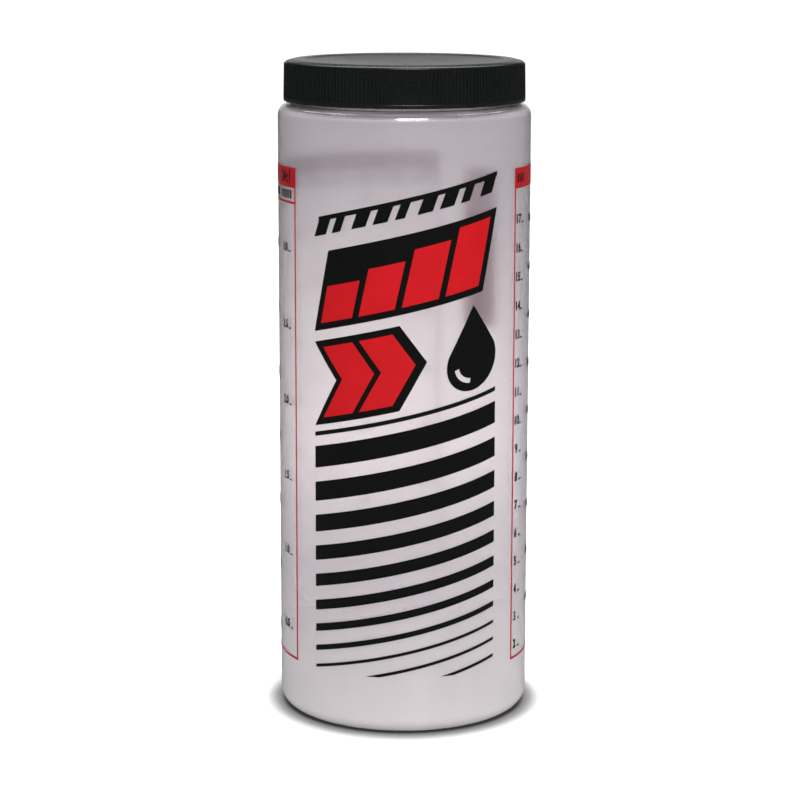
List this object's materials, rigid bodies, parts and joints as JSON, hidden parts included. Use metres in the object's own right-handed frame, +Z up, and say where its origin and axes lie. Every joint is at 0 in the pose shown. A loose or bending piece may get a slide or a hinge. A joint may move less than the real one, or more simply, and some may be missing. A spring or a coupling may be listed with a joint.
{
  "type": "fuel mixing bottle",
  "caption": "Tall wide-mouth translucent jar with a ribbed black screw cap and printed volume scales, for mixing oil into fuel.",
  "frame": {"origin": "centre of the base, on the plane the jar stands on", "axes": "+Z up along the jar, -Y out of the printed front, +X to the right of the front"},
  "size_m": [0.0712, 0.0712, 0.1852],
  "materials": {
    "frosted_plastic": "translucent natural plastic, satin",
    "black_plastic": "satin black moulded plastic",
    "foam": "white closed foam",
    "black_ink": "screen ink, satin",
    "red_ink": "screen ink, satin"
  },
  "bodies": {
    "jar": {"bottle": "frosted_plastic", "gauge_strip": "black_ink", "level_plate": "black_ink", "chevron_plate": "black_ink", "fuel_drop": "black_ink", "rule_line": "black_ink", "stripe_1": "black_ink", "stripe_2": "black_ink", "stripe_3": "black_ink", "stripe_4": "black_ink", "stripe_5": "black_ink", "stripe_6": "black_ink", "stripe_7": "black_ink", "stripe_8": "black_ink", "stripe_9": "black_ink", "stripe_10": "black_ink", "stripe_11": "black_ink", "level_bar_1": "red_ink", "level_bar_2": "red_ink", "level_bar_3": "red_ink", "level_bar_4": "red_ink", "chevron_1": "red_ink", "chevron_2": "red_ink", "ounce_frame": "red_ink", "ratio_frame": "red_ink", "back_panel": "red_ink"},
    "liner": {"cap_liner": "foam"},
    "closure": {"cap": "black_plastic"}
  },
  "joints": [
    {"name": "cap_lift", "type": "slide", "parent": "jar", "child": "liner", "axis": [0, 0, 1], "range_m": [0, 0.00849]},
    {"name": "cap_turn", "type": "hinge", "parent": "liner", "child": "closure", "pos_m": [0, 0, 0.18], "axis": [0, 0, 1], "range_deg": [0, 720]}
  ],
  "couplings": [
    {"joint": "cap_lift", "follows": "cap_turn", "m_per_rad": 0.00067375}
  ]
}
